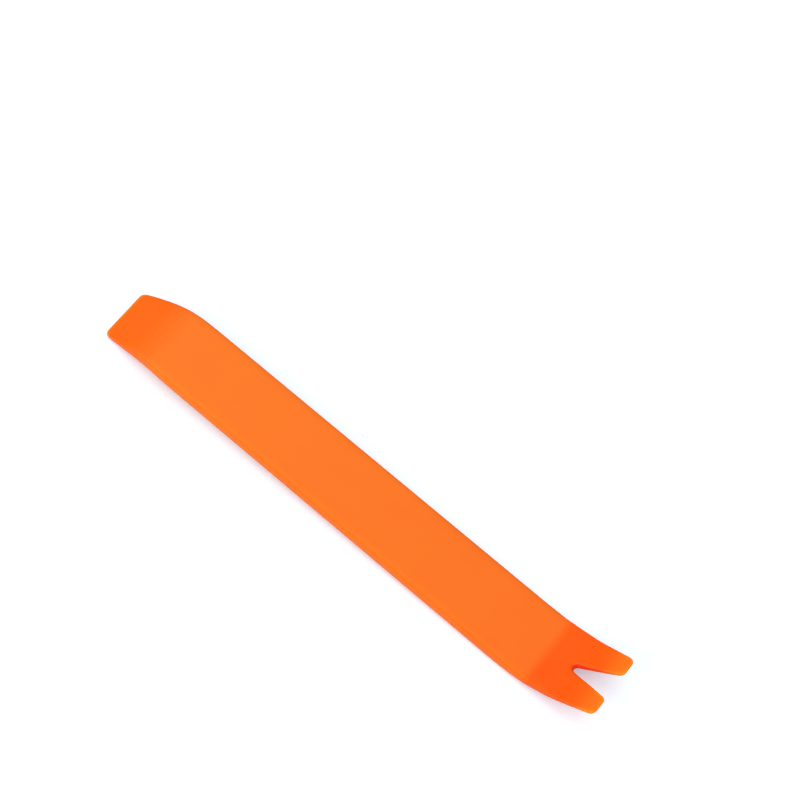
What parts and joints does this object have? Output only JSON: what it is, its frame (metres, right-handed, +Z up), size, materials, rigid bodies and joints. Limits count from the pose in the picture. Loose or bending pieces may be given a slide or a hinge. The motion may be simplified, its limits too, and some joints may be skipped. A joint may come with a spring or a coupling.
{
  "type": "trim removal tool",
  "caption": "Flat moulded plastic pry bar for lifting vehicle trim and clips, with a thin turned-down blade at one end and a V-notched fork turned up at the other.",
  "frame": {"origin": "on the surface the tool lies on, under the middle of its bounding box", "axes": "+X along the tool from the blade to the fork, +Y across its width, +Z up from the surface it rests on"},
  "size_m": [0.1804, 0.025, 0.0122],
  "materials": {
    "moulded_nylon": "satin, as moulded"
  },
  "bodies": {
    "root": {"trim_tool": "moulded_nylon"}
  },
  "joints": []
}
